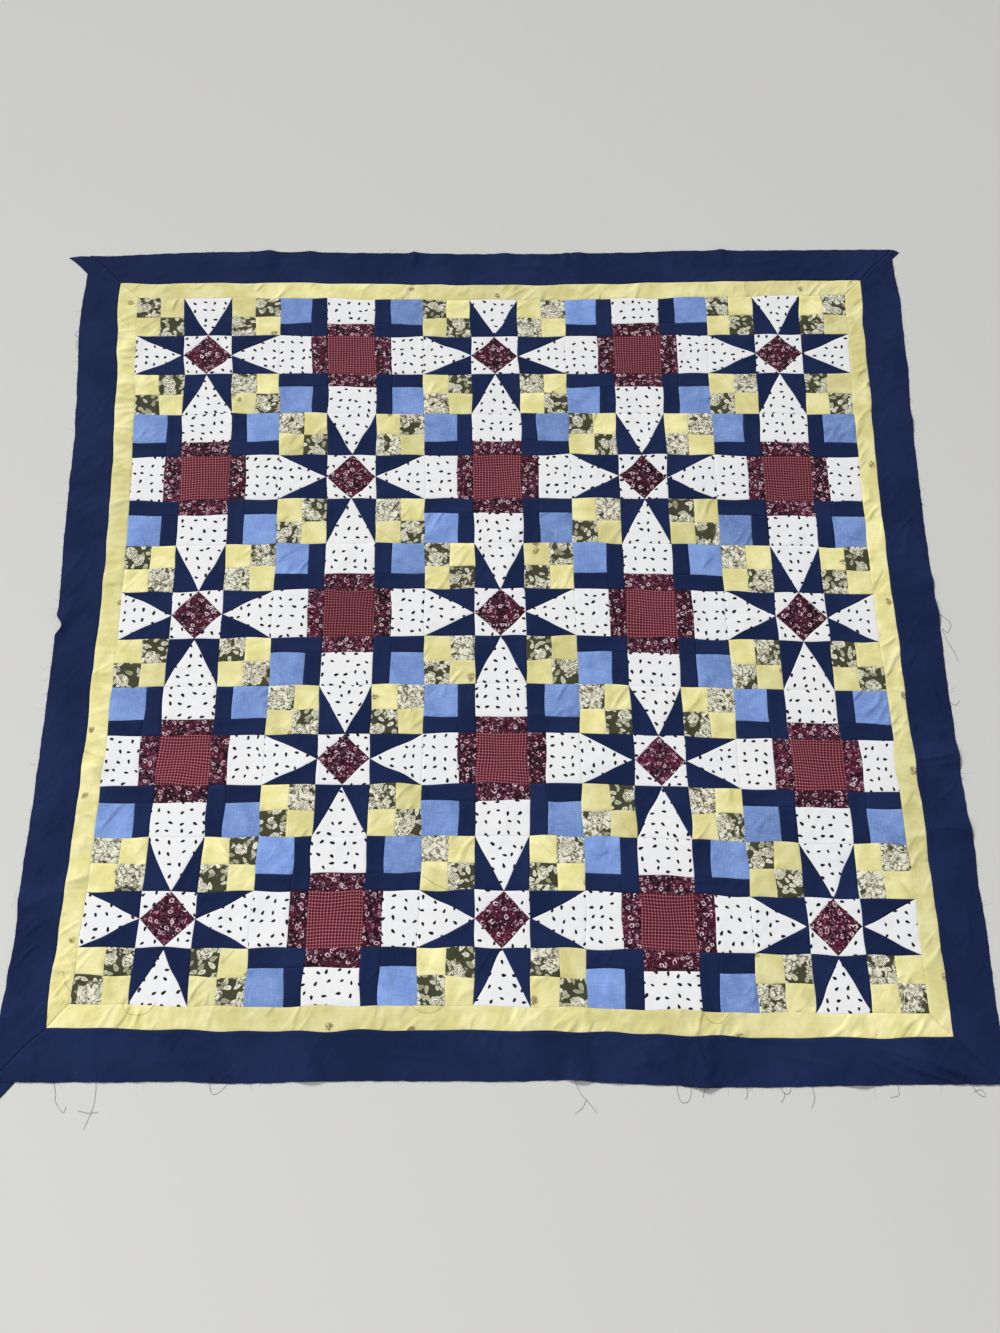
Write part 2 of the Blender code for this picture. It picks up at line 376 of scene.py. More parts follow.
# How slack the cloth lies, as a share of those surface waves: its middle value, how many broad
# waves it varies by, their lengths in metres and their size, and its least and most. Last, how far
# above the floor the middle of the surface waves lies.
SLACK_MIDDLE = 0.75
SLACK_WAVES = 6
SLACK_WAVE_LENGTHS = (0.2, 0.5)
SLACK_WAVE_SIZE = 0.35
SLACK_RANGE = (0.15, 1.6)
WAVES_ABOVE_FLOOR = 0.12 * MM

# Grid lines of a patch, in mm: how far from its edges the close ones lie, and the widest step
# between them for plain cottons, whose wrinkles show, and for printed and dark ones. Last, the
# share of a short side within which the close ones stay.
LINES_NEAR_EDGE = (0.0, 0.5, 1.4, 5.2, 7.3)
FINE_STEP = 3.6
WIDE_STEP = 8.0
CLOSE_SHARE = 0.42

# How far apart on the bolt the patches may be cut, in metres, and how far off the thread they
# are cut, in radians
BOLT_REACH = 40
OFF_GRAIN = 0.02


def smooth_through(values, place):
    """Catmull-Rom curve through values set one apart, read at every place, level past both ends."""
    values = np.asarray(values, float)
    place = np.clip(place, 0.0, len(values) - 1.0)
    step = np.minimum(place.astype(int), len(values) - 2)
    last = len(values) - 1
    before, here, there, after = (values[np.clip(step + k, 0, last)] for k in (-1, 0, 1, 2))
    t = place - step
    bend = (
        2 * here
        + (there - before) * t
        + (2 * before - 5 * here + 4 * there - after) * t * t
        + (3 * here - before - 3 * there + after) * t ** 3
    )
    return bend / 2


def rise(share):
    """A soft hump: the squared cosine, 1 in the middle and 0 from one half width away."""
    return np.where(np.abs(share) < 1, np.cos(np.pi / 2 * share) ** 2, 0.0)


def seam_place(x, y):
    """A point of the true square moved with the rows and columns of seams to where it lies."""
    column = np.clip((x + HALF) / BLOCK, 0.0, BLOCKS_A_SIDE)
    row = np.clip((HALF - y) / BLOCK, 0.0, BLOCKS_A_SIDE)
    across, down = column / BLOCKS_A_SIDE, row / BLOCKS_A_SIDE
    left, right, away = (smooth_through(values, row) for values in zip(*ROW_SEAMS))
    far, middle, near = (smooth_through(values, column) for values in zip(*COLUMN_SEAMS))
    shift_x = left * (1 - across) + right * across
    shift_y = far * (1 - down) + near * down + 4 * middle * down * (1 - down) + away
    return x + MM * shift_x, y + MM * shift_y


def humps(table, x, y):
    """All rows of a fold table added: height times a soft hump along it, times one across it."""
    total = np.zeros(np.shape(x))
    for middle_x, middle_y, direction, half_length, half_width, height in table:
        turn = math.radians(direction)
        off_x, off_y = x / MM - middle_x, y / MM - middle_y
        along = off_x * math.cos(turn) + off_y * math.sin(turn)
        across = off_y * math.cos(turn) - off_x * math.sin(turn)
        total += height * rise(along / half_length) * rise(across / half_width)
    return total * MM


def wave_field(seed, count, lengths, size):
    """A smooth uneven field: count sine waves of seeded direction, length and phase, added."""
    draw = np.random.default_rng(seed)
    heading = draw.uniform(0, 2 * np.pi, count)
    number = 2 * np.pi / np.exp(draw.uniform(*np.log(lengths), count))
    phase = draw.uniform(0, 2 * np.pi, count)

    def field(x, y):
        reach = np.multiply.outer(x, np.cos(heading)) + np.multiply.outer(y, np.sin(heading))
        return size * np.sin(reach * number + phase).sum(-1)

    return field


seam_wander_x = wave_field(11, SEAM_WAVES, SEAM_WAVE_LENGTHS, SEAM_WAVE_SIZE)
seam_wander_y = wave_field(12, SEAM_WAVES, SEAM_WAVE_LENGTHS, SEAM_WAVE_SIZE)
surface_waves = wave_field(13, SURFACE_WAVES, SURFACE_WAVE_LENGTHS, SURFACE_WAVE_SIZE)
slack_waves = wave_field(14, SLACK_WAVES, SLACK_WAVE_LENGTHS, SLACK_WAVE_SIZE)


def drawn_gathers():
    """Draws every gather once: its side, place, slant, half width and height, in mm."""
    draw = np.random.default_rng(17)
    drawn = []
    for side, (strength, stretches) in GATHERS.items():
        count = int(2 * HALF / MM / GATHER_EVERY)
        stray = draw.uniform(-GATHER_STRAY, GATHER_STRAY, count)
        place = (np.arange(count) + stray) * GATHER_EVERY - HALF / MM
        added = sum(extra * rise((place - middle) / half) for middle, half, extra in stretches)
        slant = draw.normal(*GATHER_SLANT, count)
        half_width = draw.uniform(*GATHER_HALF_WIDTH, count)
        height = draw.uniform(*GATHER_HEIGHT, count) * (strength + added)
        drawn.append((side, np.stack([place, slant, half_width, height], -1)))
    return drawn


DRAWN_GATHERS = drawn_gathers()


def gathered(x, y):
    """Height of the gathers: soft ridges across each pale strip, highest along its middle."""
    total = np.zeros(np.shape(x))
    for side, table in DRAWN_GATHERS:
        out_x, out_y = OUTWARD[side]
        along = (x * out_y - y * out_x) / MM
        from_middle = (x * out_x + y * out_y - HALF) / MM - GATHER_MIDDLE
        near = np.abs(from_middle) < GATHER_REACH
        for place, slant, half_width, height in table:
            share = (along[near] - place - slant * from_middle[near]) / half_width
            total[near] += height * rise(share) * rise(from_middle[near] / GATHER_REACH)
    return total * MM


def floor_gap(x, y):
    """How far the cloth's underside is off the floor: folds, creases, gathers and slack waves."""
    slack = np.clip(SLACK_MIDDLE + slack_waves(x, y), *SLACK_RANGE)
    waves = np.maximum(surface_waves(x, y) * slack + WAVES_ABOVE_FLOOR, 0.0)
    return humps(FOLDS + CREASES + OVER_TAILS, x, y) + gathered(x, y) + waves


def grid_lines(length, step):
    """Shares of a length where its grid lines lie: close ones by both ends, even steps between."""
    close = np.array([line * MM for line in LINES_NEAR_EDGE if line * MM < length * CLOSE_SHARE])
    steps = max(1, math.ceil((length - 2 * close[-1]) / (step * MM)))
    between = np.linspace(close[-1], length - close[-1], steps + 1)[1:-1]
    return np.concatenate([close, between, length - close[::-1]]) / length


def four_sided(corners, step):
    """A patch's flat grid: the bilinear mix of its four corners, which go round to the left."""
    near_left, near_right, far_right, far_left = np.asarray(corners, float)
    width = max(np.linalg.norm(near_right - near_left), np.linalg.norm(far_right - far_left))
    depth = max(np.linalg.norm(far_left - near_left), np.linalg.norm(far_right - near_right))
    u = grid_lines(width, step)[None, :, None]
    v = grid_lines(depth, step)[:, None, None]
    near = near_left * (1 - u) + near_right * u
    far = far_left * (1 - u) + far_right * u
    return near * (1 - v) + far * v


def side_distances(corners, flat):
    """How far each point is from each side: the side's direction crossed with the way there."""
    corners = np.asarray(corners, float)
    along = np.roll(corners, -1, axis=0) - corners
    along /= np.linalg.norm(along, axis=1, keepdims=True)
    way = flat[..., None, :] - corners
    return np.maximum(along[:, 0] * way[..., 1] - along[:, 1] * way[..., 0], 0.0)


def seam_relief(distances, ridge):
    """Height of a patch's face over its underside, in metres.

    It is sunk at each stitched side, rolls up to the cloth's thickness as 1 less the exponential of
    the way's power of 1.5, and is raised by ridge over the spare cloth, which a tanh ends.
    """
    nearest = distances.min(-1) / MM
    roll = 1 - np.exp(-((nearest / SEAM_ROLL) ** 1.5))
    bank = 0.5 - 0.5 * np.tanh((nearest - SPARE_CLOTH) / SPARE_CLOTH_FADE)
    return MM * (CLOTH_THICKNESS - SEAM_SUNK + (SEAM_SUNK + ridge * bank) * roll)


def shell(top, bottom):
    """A thin closed sheet from two grids of one shape: their quads and a wall between their rims.

    The underside's quads are turned over, so that all faces point outwards.
    """
    rows, columns = top.shape[:2]
    count = rows * columns
    number = np.arange(count).reshape(rows, columns)
    ring = [number[:-1, :-1], number[:-1, 1:], number[1:, 1:], number[1:, :-1]]
    face = np.stack(ring, -1).reshape(-1, 4)
    rim = np.concatenate([number[0, :-1], number[:-1, -1], number[-1, :0:-1], number[:0:-1, 0]])
    ahead = np.roll(rim, -1)
    wall = np.stack([rim, rim + count, ahead + count, ahead], -1)
    points = np.concatenate([top.reshape(-1, 3), bottom.reshape(-1, 3)])
    return points, np.concatenate([face, face[:, ::-1] + count, wall])


def closed_cloth(x, y, under, over, bolt, draw):
    """A patch's shell between the heights of its underside and its face, with its bolt places.

    They are the flat places moved to a spot of their own, so that no two patches show one print.
    """
    points, faces = shell(np.stack([x, y, over], -1), np.stack([x, y, under], -1))
    bolt = bolt.reshape(-1, 2) + draw.uniform(-BOLT_REACH, BOLT_REACH, 2)
    return points, faces, np.concatenate([bolt, bolt])


def cloth_patch(flat, corners, ridge, draw):
    """One patch: its flat grid moved to where it lies, and its face raised over its underside.

    It was cut along or across the bolt, a little off the thread.
    """
    flat_x, flat_y = flat[..., 0], flat[..., 1]
    x, y = seam_place(
        flat_x + seam_wander_x(flat_x, flat_y),
        flat_y + seam_wander_y(flat_x, flat_y),
    )
    under = floor_gap(flat_x, flat_y)
    over = under + seam_relief(side_distances(corners, flat), ridge)
    turn = draw.choice(4) * np.pi / 2 + draw.normal(0, OFF_GRAIN)
    spin = np.array(((math.cos(turn), math.sin(turn)), (-math.sin(turn), math.cos(turn))))
    return closed_cloth(x, y, under, over, flat @ spin, draw)


def sewn_piece(name, patches, cottons):
    """One mesh of a piece's patches, each in its cotton, with their bolt places as its UV map."""
    points = np.concatenate([patch[0] for _, patch in patches])
    starts = np.cumsum([0] + [len(patch[0]) for _, patch in patches[:-1]])
    faces = np.concatenate([patch[1] + start for (_, patch), start in zip(patches, starts)])
    bolt = np.concatenate([patch[2] for _, patch in patches])
    names = list(dict.fromkeys(cotton for cotton, _ in patches))
    slots = [np.full(len(patch[1]), names.index(cotton)) for cotton, patch in patches]

    mesh = bpy.data.meshes.new(name)
    mesh.vertices.add(len(points))
    mesh.vertices.foreach_set("co", points.ravel())
    mesh.loops.add(faces.size)
    mesh.loops.foreach_set("vertex_index", faces.ravel())
    mesh.polygons.add(len(faces))
    mesh.polygons.foreach_set("loop_start", np.arange(len(faces)) * 4)
    mesh.polygons.foreach_set("material_index", np.concatenate(slots))
    mesh.polygons.foreach_set("use_smooth", np.ones(len(faces), bool))
    mesh.uv_layers.new(name="bolt").uv.foreach_set("vector", bolt[faces].ravel())
    mesh.update(calc_edges=True)
    mesh.validate()
    for cotton in names:
        mesh.materials.append(cottons[cotton])
    return placed(name, mesh)


def srgb(red, green, blue):
    """A shader's linear colour from the one that a screen shows, 0 to 255."""
    shown = np.array((red, green, blue)) / 255
    linear = np.where(shown <= 0.04045, shown / 12.92, ((shown + 0.055) / 1.055) ** 2.4)
    return (*linear, 1.0)


def node(tree, kind, feeds=(), **settings):
    """Adds a shader node with its settings. feeds gives each socket a value or another's output."""
    made = tree.nodes.new("ShaderNode" + kind)
    for name, value in settings.items():
        setattr(made, name, value)
    for socket, value in dict(feeds).items():
        if isinstance(value, bpy.types.NodeSocket):
            tree.links.new(value, made.inputs[socket])
        else:
            made.inputs[socket].default_value = value
    return made


def maths(tree, operation, *values):
    """The output of a Math node on two or three values."""
    return node(tree, "Math", dict(enumerate(values)), operation=operation).outputs[0]


def product(tree, first, *others):
    """All the values multiplied."""
    for other in others:
        first = maths(tree, "MULTIPLY", first, other)
    return first


def off_middle(tree, value):
    """How far the value is from 0.5."""
    return maths(tree, "ABSOLUTE", maths(tree, "SUBTRACT", value, 0.5))


def soft_step(tree, value, low, high):
    """1 where the value is past high, 0 before low, and smooth between. low may be the larger."""
    feeds = {"Value": value, "From Min": low, "From Max": high}
    return node(tree, "MapRange", feeds, interpolation_type="SMOOTHSTEP").outputs[0]


def mixed(tree, share, first, second):
    """The first colour where share is 0 and the second where it is 1."""
    return node(tree, "Mix", {0: share, 6: first, 7: second}, data_type="RGBA").outputs[2]


def uneven(tree, where, lumps, detail=2.0, more=(1.0, 1.0)):
    """Soft noise between 0 and 1: so many lumps a metre, times more along X and along Y."""
    feeds = {0: where, 1: (*more, 1.0)}
    moved = node(tree, "VectorMath", feeds, operation="MULTIPLY").outputs[0]
    feeds = {"Vector": moved, "Scale": lumps, "Detail": detail}
    return node(tree, "TexNoise", feeds, noise_dimensions="2D").outputs[0]


def new_group(name, inputs, outputs):
    """An empty node group with these named sockets: its tree, its inputs' node and its outputs'."""
    tree = bpy.data.node_groups.new(name, "ShaderNodeTree")
    for direction, sockets in (("INPUT", inputs), ("OUTPUT", outputs)):
        for socket, kind in sockets:
            tree.interface.new_socket(socket, in_out=direction, socket_type="NodeSocket" + kind)
    return tree, tree.nodes.new("NodeGroupInput"), tree.nodes.new("NodeGroupOutput")


# How narrow a mark may get at its thin end, as a share of its width
NARROWEST = 0.05


def scattered_marks():
    """The group that strews printed marks: one in each cell of a jittered grid, turned at random.

    A mark is an ellipse that narrows towards one end: the length of (along / half its length,
    across / half its width here) is under 1 inside it. Inside gives 1 less that length.
    """
    inputs = [("Place", "Vector"), ("Spacing", "Float"), ("Length", "Float"), ("Width", "Float")]
    inputs += [("Taper", "Float"), ("Spread", "Float"), ("Jitter", "Float"), ("Edge", "Float")]
    outputs = [("Mask", "Float"), ("Inside", "Float"), ("Tone", "Float")]
    tree, given, result = new_group("scattered marks", inputs, outputs)
    scale = maths(tree, "DIVIDE", 1.0, given.outputs["Spacing"])
    feeds = {"Vector": given.outputs["Place"], "Scale": scale}
    feeds["Randomness"] = given.outputs["Jitter"]
    cells = node(tree, "TexVoronoi", feeds, voronoi_dimensions="2D")
    chance = node(tree, "SeparateColor", {"Color": cells.outputs["Color"]})
    feeds = {0: given.outputs["Place"], 1: cells.outputs["Position"]}
    off = node(tree, "VectorMath", feeds, operation="SUBTRACT").outputs[0]
    turn = product(tree, chance.outputs["Red"], 2 * math.pi)
    feeds = {"Vector": off, "Angle": turn}
    turned = node(tree, "VectorRotate", feeds, rotation_type="Z_AXIS").outputs[0]
    parts = node(tree, "SeparateXYZ", {0: turned})
    shrink = product(tree, chance.outputs["Green"], given.outputs["Spread"])
    size = maths(tree, "SUBTRACT", 1.0, shrink)
    half_length = product(tree, given.outputs["Length"], 0.5, size)
    half_width = product(tree, given.outputs["Width"], 0.5, size)
    along = maths(tree, "DIVIDE", parts.outputs["X"], half_length)
    narrowed = product(tree, along, given.outputs["Taper"])
    narrowed = maths(tree, "MAXIMUM", maths(tree, "SUBTRACT", 1.0, narrowed), NARROWEST)
    across = maths(tree, "DIVIDE", maths(tree, "DIVIDE", parts.outputs["Y"], half_width), narrowed)
    squares = maths(tree, "ADD", product(tree, along, along), product(tree, across, across))
    reach = maths(tree, "SQRT", squares)
    inside = maths(tree, "SUBTRACT", 1.0, reach)
    feeds = {"Value": inside, "From Min": 0.0, "From Max": given.outputs["Edge"]}
    mask = node(tree, "MapRange", feeds, interpolation_type="SMOOTHSTEP").outputs[0]
    tree.links.new(mask, result.inputs["Mask"])
    tree.links.new(inside, result.inputs["Inside"])
    tree.links.new(chance.outputs["Blue"], result.inputs["Tone"])
    return tree


# Lumps a metre along X and Y of the thicker threads of each direction, how much the fine threads
# add to their height, how many of those a metre has, and how matt the cottons are
WARP_STREAKS = (1500.0, 70.0)
WEFT_STREAKS = (60.0, 1300.0)
FINE_SHARE = 0.25
THREADS_A_METRE = 1500.0
ROUGHNESS = 0.88

# The range of the streaks' noise over which they tint a cotton, and how strong the weave's bump is
SLUB_RANGE = (0.3, 0.7)
WEAVE_STRENGTH = 0.6


def plain_weave():
    """The group of plain-woven cotton: streaks of thicker threads both ways, and fine threads.

    Slub is the mean of two noises, each drawn out along one of the thread directions. Height adds
    the product of two sine waves, which is where the fine threads pass over one another.
    """
    inputs = [("Place", "Vector"), ("Threads a Metre", "Float")]
    tree, given, result = new_group("plain weave", inputs, [("Slub", "Float"), ("Height", "Float")])
    warp = uneven(tree, given.outputs["Place"], 1.0, detail=1.0, more=WARP_STREAKS)
    weft = uneven(tree, given.outputs["Place"], 1.0, detail=1.0, more=WEFT_STREAKS)
    slub = product(tree, maths(tree, "ADD", warp, weft), 0.5)
    parts = node(tree, "SeparateXYZ", {0: given.outputs["Place"]})
    number = product(tree, given.outputs["Threads a Metre"], 2 * math.pi)
    over = maths(tree, "SINE", product(tree, parts.outputs["X"], number))
    under = maths(tree, "SINE", product(tree, parts.outputs["Y"], number))
    threads = product(tree, over, under, FINE_SHARE)
    tree.links.new(slub, result.inputs["Slub"])
    tree.links.new(maths(tree, "ADD", slub, threads), result.inputs["Height"])
    return tree


# The slant of the wrinkles off the thread in degrees, the lumps a metre of the noise whose middle
# value they follow, how far from it they reach, lumps a metre of the noise that shows them and its
# values from hidden to shown, and the swells' lumps a metre and height
WRINKLE_SLANT = 38
WRINKLE_LUMPS = (34.0, 11.0)
WRINKLE_REACH = 0.17
SHOWN_LUMPS = 17.0
SHOWN_RANGE = (0.42, 0.62)
SWELL_LUMPS = 62.0
SWELL_HEIGHT = 0.5


def slack_creases():
    """The group of the wrinkles of slack cotton: narrow slanting ridges over low swells.

    A ridge follows the line where a drawn-out noise passes its middle value, and a second noise
    lets it fade in and out. Height is up to 1 on a ridge, and the swells add up to half of that.
    """
    tree, given, result = new_group("slack creases", [("Place", "Vector")], [("Height", "Float")])
    place = given.outputs["Place"]
    feeds = {"Vector": place, "Angle": math.radians(WRINKLE_SLANT)}
    turned = node(tree, "VectorRotate", feeds, rotation_type="Z_AXIS").outputs[0]
    drawn_out = uneven(tree, turned, 1.0, detail=1.0, more=WRINKLE_LUMPS)
    ridge = soft_step(tree, off_middle(tree, drawn_out), WRINKLE_REACH, 0.0)
    shown = soft_step(tree, uneven(tree, place, SHOWN_LUMPS, detail=1.0), *SHOWN_RANGE)
    swell = product(tree, uneven(tree, place, SWELL_LUMPS), SWELL_HEIGHT)
    height = maths(tree, "ADD", product(tree, ridge, shown), swell)
    tree.links.new(height, result.inputs["Height"])
    return tree


MARKS = scattered_marks()
WEAVE = plain_weave()
SLACK = slack_creases()


def marks(tree, where, **sizes):
    """Strews marks. sizes are their group's inputs, with spacing, length and width in metres."""
    feeds = {"Place": where} | {size.capitalize(): value for size, value in sizes.items()}
    return node(tree, "Group", feeds, node_tree=MARKS).outputs


def lightened(tree, colour, noise, noise_range, share):
    """The colour times 1 less share where the noise is low in its range, to 1 more where high."""
    feeds = {"Value": noise, "From Min": noise_range[0], "From Max": noise_range[1]}
    feeds |= {"To Min": 1.0 - share, "To Max": 1.0 + share}
    gain = node(tree, "MapRange", feeds).outputs[0]
    return node(tree, "VectorMath", {0: colour, "Scale": gain}, operation="SCALE").outputs[0]


def cotton(name, paint, slack, weave_depth, weave_tint, shine=0.2):
    """A matt cotton: paint makes its printed colour from the bolt's place, under the weave.

    slack and weave_depth are the heights of its wrinkles and of its thicker threads in metres, and
    weave_tint is how much those threads lighten or darken the colour.
    """
    material = bpy.data.materials.new(name)
    material.use_nodes = True
    tree = material.node_tree
    shader = tree.nodes["Principled BSDF"]
    place = node(tree, "UVMap", uv_map="bolt").outputs[0]
    feeds = {"Place": place, "Threads a Metre": THREADS_A_METRE}
    weave = node(tree, "Group", feeds, node_tree=WEAVE)
    tinted = lightened(tree, paint(tree, place), weave.outputs["Slub"], SLUB_RANGE, weave_tint)
    tree.links.new(tinted, shader.inputs["Base Color"])
    wrinkles = node(tree, "Group", {"Place": place}, node_tree=SLACK)
    wrinkled = node(tree, "Bump", {"Height": wrinkles.outputs["Height"], "Distance": slack})
    feeds = {"Height": weave.outputs["Height"], "Distance": weave_depth}
    feeds |= {"Strength": WEAVE_STRENGTH, "Normal": wrinkled.outputs[0]}
    woven = node(tree, "Bump", feeds)
    tree.links.new(woven.outputs[0], shader.inputs["Normal"])
    shader.inputs["Roughness"].default_value = ROUGHNESS
    shader.inputs["Specular IOR Level"].default_value = shine
    return material


def navy_paint(tree, place):
    """Deep navy, a little greyer and lighter in wide soft areas where the dye has rubbed."""
    worn = uneven(tree, place, 9.0, detail=3.0)
    return mixed(tree, soft_step(tree, worn, 0.34, 0.68), srgb(23, 36, 72), srgb(29, 43, 82))


def white_print_paint(tree, place):
    """White with dark plump drops strewn 16 mm apart, each turned its own way."""
    drops = marks(
        tree, place, spacing=0.0157, length=0.0079, width=0.0045,
        taper=0.32, spread=0.2, jitter=0.45, edge=0.18,
    )
    ground = mixed(tree, uneven(tree, place, 14.0), srgb(238, 239, 241), srgb(248, 247, 246))
    ink = mixed(tree, drops["Tone"], srgb(10, 14, 26), srgb(26, 38, 40))
    return mixed(tree, drops["Mask"], ground, ink)


# How a cotton's tone differs from one cut piece to the next: lumps of tone a metre along the bolt,
# and the range of their noise from the darkest to the lightest
TONE_LUMPS = 2.5
TONE_RANGE = (0.25, 0.75)


def piece_tone(tree, place, colour, spread):
    """The colour made lighter or darker by a noise so broad that it's nearly even over a piece."""
    return lightened(tree, colour, uneven(tree, place, TONE_LUMPS, detail=0.0), TONE_RANGE, spread)


def maroon_print_paint(tree, place):
    """Dark plum red with pale broken rings, pale flecks, and thin mauve scrolls between."""
    bend = uneven(tree, place, 120.0, detail=1.0)
    scroll = soft_step(tree, off_middle(tree, bend), 0.034, 0.012)
    mottle = soft_step(tree, uneven(tree, place, 60.0), 0.35, 0.65)
    ground = mixed(tree, mottle, srgb(33, 4, 18), srgb(72, 14, 36))
    ground = mixed(tree, product(tree, scroll, 0.5), ground, srgb(146, 100, 122))
    ground = piece_tone(tree, place, ground, 0.3)
    flecks = marks(
        tree, place, spacing=0.0060, length=0.0048, width=0.0026,
        taper=0.3, spread=0.5, jitter=1.0, edge=0.4,
    )
    shown = product(tree, flecks["Mask"], soft_step(tree, flecks["Tone"], 0.3, 0.9))
    ground = mixed(tree, shown, ground, srgb(212, 172, 186))
    rings = marks(
        tree, place, spacing=0.0142, length=0.0086, width=0.0062,
        taper=0.35, spread=0.35, jitter=0.95, edge=0.16,
    )
    petal = mixed(tree, rings["Tone"], srgb(194, 144, 160), srgb(246, 228, 232))
    heart = soft_step(tree, rings["Inside"], 0.44, 0.58)
    petal = mixed(tree, heart, petal, srgb(70, 20, 40))
    broken = soft_step(tree, uneven(tree, place, 260.0, detail=1.0), 0.36, 0.46)
    return mixed(tree, product(tree, rings["Mask"], broken), ground, petal)


# Beds of crowded roses in the olive print, so many a metre
BED_LUMPS = 9.0


def floral_print_paint(tree, place):
    """Dark olive with bold pale leaves and roses, between beds of roses that nearly hide it.

    The beds are where a broad noise is high, with ragged rims. A leaf is a mark that is darker
    along its middle, a rose has wavy rings round its heart, and the beds' petals are drawn in olive
    strokes where a finer noise passes its middle value.
    """
    olive = srgb(120, 113, 86)
    dark_olive = srgb(104, 98, 73)
    ground = mixed(tree, uneven(tree, place, 55.0), srgb(56, 57, 40), srgb(78, 79, 57))
    feeds = {0: place, 1: (3.1, 5.7, 0.0)}
    elsewhere = node(tree, "VectorMath", feeds, operation="ADD").outputs[0]
    leaves = marks(
        tree, elsewhere, spacing=0.0118, length=0.0142, width=0.0072,
        taper=0.4, spread=0.4, jitter=1.0, edge=0.14,
    )
    leaf = mixed(tree, leaves["Tone"], srgb(150, 150, 118), srgb(236, 232, 208))
    leaf_heart = product(tree, soft_step(tree, leaves["Inside"], 0.45, 0.8), 0.45)
    dark = mixed(tree, leaves["Mask"], ground, mixed(tree, leaf_heart, leaf, olive))

    line = uneven(tree, place, 120.0)
    roses = marks(
        tree, place, spacing=0.0290, length=0.0290, width=0.0240,
        taper=0.12, spread=0.3, jitter=0.9, edge=0.16,
    )
    wavy = maths(tree, "ADD", product(tree, line, 1.5), roses["Inside"])
    rings = maths(tree, "SINE", product(tree, wavy, 17.0))
    cream = mixed(tree, uneven(tree, place, 85.0), srgb(218, 214, 184), srgb(252, 251, 236))
    shade = soft_step(tree, uneven(tree, elsewhere, 150.0, detail=1.0), 0.5, 0.68)
    cream = mixed(tree, product(tree, shade, 0.6), cream, srgb(152, 149, 116))
    rose = mixed(tree, soft_step(tree, rings, -0.1, -0.98), cream, dark_olive)

    from_stroke = off_middle(tree, uneven(tree, elsewhere, 88.0, detail=3.0))
    bed = mixed(tree, soft_step(tree, from_stroke, 0.074, 0.008), cream, dark_olive)
    bed = mixed(tree, soft_step(tree, uneven(tree, elsewhere, 64.0), 0.35, 0.32), bed, ground)

    ragged = product(tree, maths(tree, "SUBTRACT", line, 0.5), 0.3)
    flower = soft_step(tree, maths(tree, "ADD", roses["Inside"], ragged), 0.16, 0.22)
    broad = maths(tree, "ADD", uneven(tree, place, BED_LUMPS, detail=1.0), ragged)
    in_bed = soft_step(tree, broad, 0.52, 0.56)
    return mixed(tree, flower, mixed(tree, in_bed, dark, bed), rose)


def yellow_paint(tree, place):
    """Pale yellow, a little uneven, with a small faded sprig here and there."""
    clouds = soft_step(tree, uneven(tree, place, 26.0, detail=3.0), 0.32, 0.68)
    ground = mixed(tree, clouds, srgb(228, 220, 150), srgb(244, 237, 176))
    ground = piece_tone(tree, place, ground, 0.12)
    sprigs = marks(
        tree, place, spacing=0.110, length=0.0185, width=0.0145,
        taper=0.4, spread=0.3, jitter=1.0, edge=0.6,
    )
    broken = soft_step(tree, uneven(tree, place, 300.0), 0.28, 0.52)
    return mixed(tree, product(tree, sprigs["Mask"], broken, 0.9), ground, srgb(134, 118, 82))


COTTONS = {
    "navy": cotton("navy_cotton", navy_paint, 0.0005, 0.00010, 0.08, shine=0.1),
    "white_print": cotton("white_drop_print", white_print_paint, 0.0002, 0.00012, 0.02),
    "maroon_print": cotton("maroon_scroll_print", maroon_print_paint, 0.0003, 0.00010, 0.06),
    "floral_print": cotton("olive_rose_print", floral_print_paint, 0.0002, 0.00010, 0.05),
    "yellow": cotton("pale_yellow_cotton", yellow_paint, 0.0015, 0.00014, 0.03),
}

# How high the spare cloth stands under each cotton, in mm: seams are pressed to the darker side
RIDGES = {
    "navy": 0.34,
    "white_print": 0.0,
    "maroon_print": 0.26,
    "floral_print": 0.30,
    "yellow": 0.05,
}

# Whose wrinkles show, because neither a print nor a dark dye hides them
PLAIN_COTTONS = ("yellow", "blue")

# How far the tip of a star point stops short of the centre square, in mm, at least and at most,
# and how wide a tip is
TIP_SHORT = (0.4, 4.5)
TIP_BLUNT = 0.12


def wedge(base_left, base_right, tip):
    """The four corners of a pointed patch: its tip is cut off a hair's breadth wide."""
    base_left, base_right, tip = (np.asarray(p, float) for p in (base_left, base_right, tip))
    to_left = (base_left - tip) / np.linalg.norm(base_left - tip)
    to_right = (base_right - tip) / np.linalg.norm(base_right - tip)
    return base_left, base_right, tip + TIP_BLUNT * MM * to_right, tip + TIP_BLUNT * MM * to_left


def lattice(left, far, cells):
    """Corner points of a block's true square: the first index goes right, and the second nearer."""
    step = np.arange(cells + 1) * BLOCK / cells
    return np.stack(np.broadcast_arrays(left + step[:, None], far - step[None, :]), -1)


def square(p, left, far, right, near):
    """The corners of an upright patch between these lines of a lattice, going round to the left."""
    return p[left, near], p[right, near], p[right, far], p[left, far]


